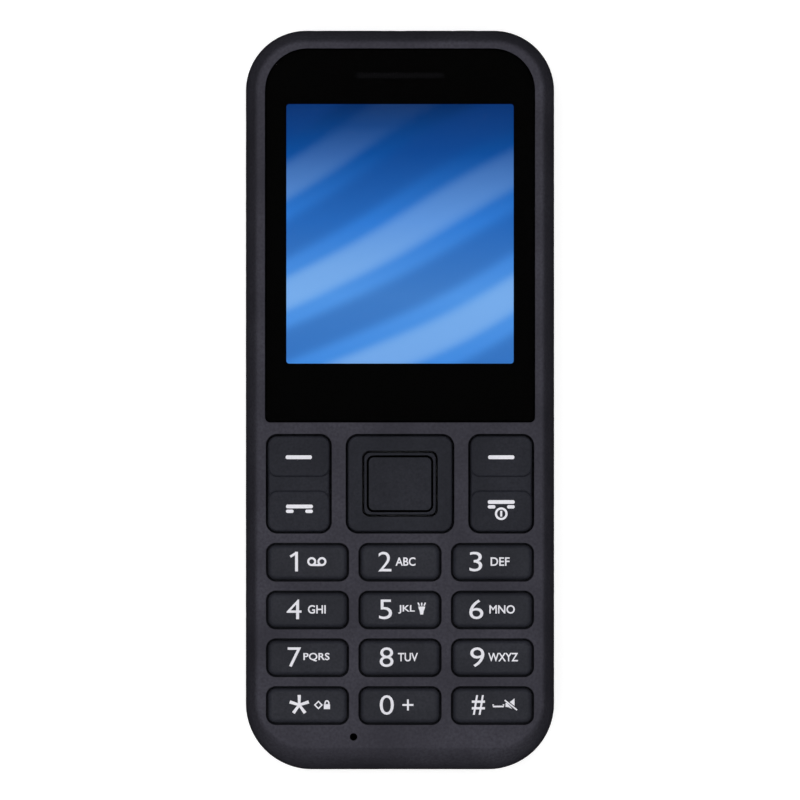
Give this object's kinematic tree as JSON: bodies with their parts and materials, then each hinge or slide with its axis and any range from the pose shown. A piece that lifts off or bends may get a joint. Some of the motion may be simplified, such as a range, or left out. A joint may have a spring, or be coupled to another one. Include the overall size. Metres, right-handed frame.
{
  "type": "mobile phone",
  "caption": "Bar-shaped mobile phone with a display window above a navigation pad, rocker keys and a number keypad, and a lift-off battery cover.",
  "frame": {"origin": "middle of the back face, on the surface that the phone lies on", "axes": "+X to the right across the keys, +Y towards the earpiece end, +Z out of the display"},
  "size_m": [0.045, 0.1078, 0.0128],
  "materials": {
    "casing": "satin",
    "cover": "matte",
    "keys": "satin",
    "window": "gloss",
    "camera_glass": "gloss",
    "torch_clear": "gloss",
    "adhesive": "matte",
    "mesh": "matte",
    "acoustic": "satin",
    "display": "gloss",
    "tray": "matte",
    "flex": "satin",
    "silicone": "matte",
    "dome_film": "satin",
    "board": "satin",
    "steel": "satin",
    "copper_alloy": "satin",
    "frame_plastic": "matte",
    "cell": "matte",
    "socket_plastic": "satin",
    "rubber": "matte",
    "led": "gloss"
  },
  "bodies": {
    "phone": {"front_cover": "casing", "display_window": "window", "window_tape": "adhesive", "earpiece_mesh": "mesh", "earpiece_receiver": "acoustic", "display_frame": "tray", "display_panel": "display", "display_flex": "flex", "key_mat": "silicone", "dome_sheet": "dome_film", "main_board": "board", "baseband_shield": "steel", "radio_shield": "steel", "sim_holder": "steel", "card_holder": "steel", "battery": "cell", "battery_contacts": "socket_plastic", "chassis": "frame_plastic", "antenna_plate": "copper_alloy", "housing_screws": "steel", "camera_module": "acoustic", "loudspeaker": "acoustic", "vibration_motor": "steel", "micro_usb_socket": "steel", "headphone_jack": "socket_plastic", "torch_lens": "torch_clear", "torch_led": "led", "microphone": "steel", "microphone_boot": "rubber"},
    "battery_cover": {"rear_cover": "cover", "camera_window": "camera_glass"},
    "left_rocker": {"left_rocker_key": "keys"},
    "right_rocker": {"right_rocker_key": "keys"},
    "pad_carrier": {"navigation_base": "keys"},
    "pad_ring": {"navigation_ring": "keys"},
    "select": {"select_key": "keys"},
    "key_1_cap": {"key_1": "keys"},
    "key_2_cap": {"key_2": "keys"},
    "key_3_cap": {"key_3": "keys"},
    "key_4_cap": {"key_4": "keys"},
    "key_5_cap": {"key_5": "keys"},
    "key_6_cap": {"key_6": "keys"},
    "key_7_cap": {"key_7": "keys"},
    "key_8_cap": {"key_8": "keys"},
    "key_9_cap": {"key_9": "keys"},
    "key_star_cap": {"key_star": "keys"},
    "key_0_cap": {"key_0": "keys"},
    "key_hash_cap": {"key_hash": "keys"}
  },
  "joints": [
    {"name": "key_1_press", "type": "slide", "parent": "phone", "child": "key_1_cap", "axis": [0, 0, -1], "range_m": [0, 0.00025], "stiffness_N_per_m": 6000, "deforming": ["key_mat"]},
    {"name": "key_2_press", "type": "slide", "parent": "phone", "child": "key_2_cap", "axis": [0, 0, -1], "range_m": [0, 0.00025], "stiffness_N_per_m": 6000, "deforming": ["key_mat"]},
    {"name": "key_3_press", "type": "slide", "parent": "phone", "child": "key_3_cap", "axis": [0, 0, -1], "range_m": [0, 0.00025], "stiffness_N_per_m": 6000, "deforming": ["key_mat"]},
    {"name": "key_4_press", "type": "slide", "parent": "phone", "child": "key_4_cap", "axis": [0, 0, -1], "range_m": [0, 0.00025], "stiffness_N_per_m": 6000, "deforming": ["key_mat"]},
    {"name": "key_5_press", "type": "slide", "parent": "phone", "child": "key_5_cap", "axis": [0, 0, -1], "range_m": [0, 0.00025], "stiffness_N_per_m": 6000, "deforming": ["key_mat"]},
    {"name": "key_6_press", "type": "slide", "parent": "phone", "child": "key_6_cap", "axis": [0, 0, -1], "range_m": [0, 0.00025], "stiffness_N_per_m": 6000, "deforming": ["key_mat"]},
    {"name": "key_7_press", "type": "slide", "parent": "phone", "child": "key_7_cap", "axis": [0, 0, -1], "range_m": [0, 0.00025], "stiffness_N_per_m": 6000, "deforming": ["key_mat"]},
    {"name": "key_8_press", "type": "slide", "parent": "phone", "child": "key_8_cap", "axis": [0, 0, -1], "range_m": [0, 0.00025], "stiffness_N_per_m": 6000, "deforming": ["key_mat"]},
    {"name": "key_9_press", "type": "slide", "parent": "phone", "child": "key_9_cap", "axis": [0, 0, -1], "range_m": [0, 0.00025], "stiffness_N_per_m": 6000, "deforming": ["key_mat"]},
    {"name": "key_star_press", "type": "slide", "parent": "phone", "child": "key_star_cap", "axis": [0, 0, -1], "range_m": [0, 0.00025], "stiffness_N_per_m": 6000, "deforming": ["key_mat"]},
    {"name": "key_0_press", "type": "slide", "parent": "phone", "child": "key_0_cap", "axis": [0, 0, -1], "range_m": [0, 0.00025], "stiffness_N_per_m": 6000, "deforming": ["key_mat"]},
    {"name": "key_hash_press", "type": "slide", "parent": "phone", "child": "key_hash_cap", "axis": [0, 0, -1], "range_m": [0, 0.00025], "stiffness_N_per_m": 6000, "deforming": ["key_mat"]},
    {"name": "select_press", "type": "slide", "parent": "phone", "child": "select", "axis": [0, 0, -1], "range_m": [0, 0.00025], "stiffness_N_per_m": 6000, "deforming": ["key_mat"]},
    {"name": "left_rocker_tilt", "type": "hinge", "parent": "phone", "child": "left_rocker", "pos_m": [-0.0147, -0.01216, 0.0103], "axis": [1, 0, 0], "range_deg": [-3, 3], "stiffness_Nm_per_rad": 0.17, "deforming": ["key_mat"]},
    {"name": "right_rocker_tilt", "type": "hinge", "parent": "phone", "child": "right_rocker", "pos_m": [0.0147, -0.01216, 0.0103], "axis": [1, 0, 0], "range_deg": [-3, 3], "stiffness_Nm_per_rad": 0.17, "deforming": ["key_mat"]},
    {"name": "pad_up_down", "type": "hinge", "parent": "phone", "child": "pad_carrier", "pos_m": [0, -0.01216, 0.0105], "axis": [1, 0, 0], "range_deg": [-2.2, 2.2], "stiffness_Nm_per_rad": 0.2, "deforming": ["key_mat"]},
    {"name": "pad_left_right", "type": "hinge", "parent": "pad_carrier", "child": "pad_ring", "pos_m": [0, -0.01216, 0.0105], "axis": [0, 1, 0], "range_deg": [-2.2, 2.2], "stiffness_Nm_per_rad": 0.2, "deforming": ["key_mat"]},
    {"name": "battery_cover_lift", "type": "slide", "parent": "phone", "child": "battery_cover", "axis": [0, 0, -1], "range_m": [0, 0.025]}
  ]
}
